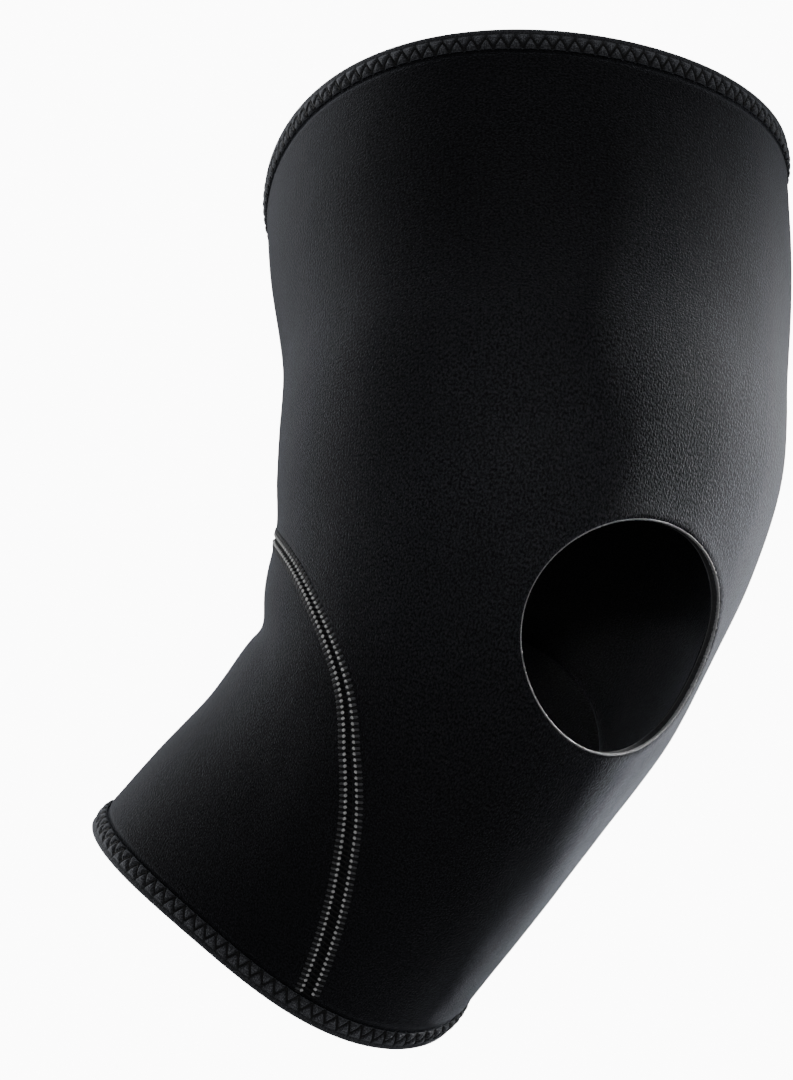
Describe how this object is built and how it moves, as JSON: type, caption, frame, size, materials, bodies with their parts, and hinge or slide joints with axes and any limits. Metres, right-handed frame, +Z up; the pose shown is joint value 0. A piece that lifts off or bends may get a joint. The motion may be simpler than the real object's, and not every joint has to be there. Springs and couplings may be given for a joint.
{
  "type": "knee sleeve",
  "caption": "Pull-on knee sleeve of cloth-faced foam rubber on a bent knee, with a round kneecap opening, curved side seams and bound edges.",
  "frame": {"origin": "inside the knee, where the middle line of the thigh tube crosses the middle line of the shin tube", "axes": "+Z up along the thigh tube, -Y to the front where the kneecap opening is, +X to the side"},
  "size_m": [0.162, 0.2255, 0.279],
  "materials": {
    "rubber_cloth": "black knitted nylon facing on foam rubber, matt with a soft sheen at grazing angles",
    "edge_tape": "dark grey folded stretch tape",
    "pale_thread": "light grey twisted sewing thread",
    "black_thread": "black sewing thread",
    "cut_edge": "raw cut edge of the foam rubber between its two cloth faces"
  },
  "bodies": {
    "root": {"front_panel": "rubber_cloth", "calf_panel": "rubber_cloth", "top_binding": "edge_tape", "bottom_binding": "edge_tape"}
  },
  "joints": []
}
